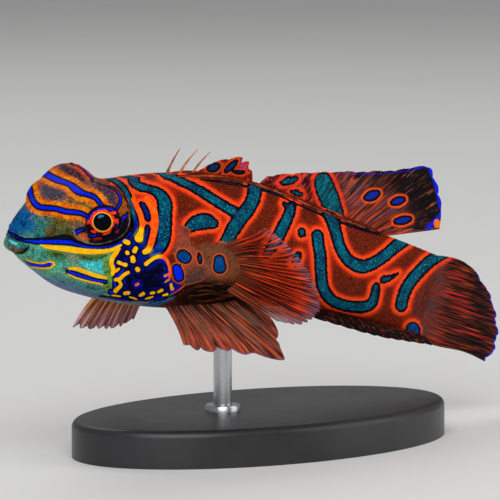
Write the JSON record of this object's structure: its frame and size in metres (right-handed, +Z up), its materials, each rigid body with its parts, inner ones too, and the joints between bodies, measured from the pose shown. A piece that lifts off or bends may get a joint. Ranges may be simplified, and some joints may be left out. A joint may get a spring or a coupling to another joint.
{
  "type": "mandarinfish model",
  "caption": "Life-size model of a mandarinfish swimming, fins spread, held over an oval display base by one short rod.",
  "frame": {"origin": "centre of the underside of the display base", "axes": "+X towards the tail, along the longest side; the fish heads along -X and its left side faces -Y; +Z up"},
  "size_m": [0.067, 0.027, 0.0329],
  "materials": {
    "skin": "painted resin with teal bands, wet gloss",
    "fin": "thin tinted resin, ribbed by its rays",
    "eye": "polished, clear over a painted iris",
    "stand_base": "satin black",
    "stand_rod": "satin"
  },
  "bodies": {
    "root": {"head": "skin", "torso": "skin", "tail": "skin", "gill_flap_left": "fin", "gill_flap_right": "fin", "pectoral_fin_left": "fin", "pectoral_fin_right": "fin", "pelvic_fin_left": "fin", "pelvic_fin_right": "fin", "dorsal_fin_first": "fin", "dorsal_fin_second": "fin", "anal_fin": "fin", "caudal_fin": "fin", "eye_left": "eye", "eye_right": "eye", "stand_base": "stand_base", "stand_rod": "stand_rod"}
  },
  "joints": []
}
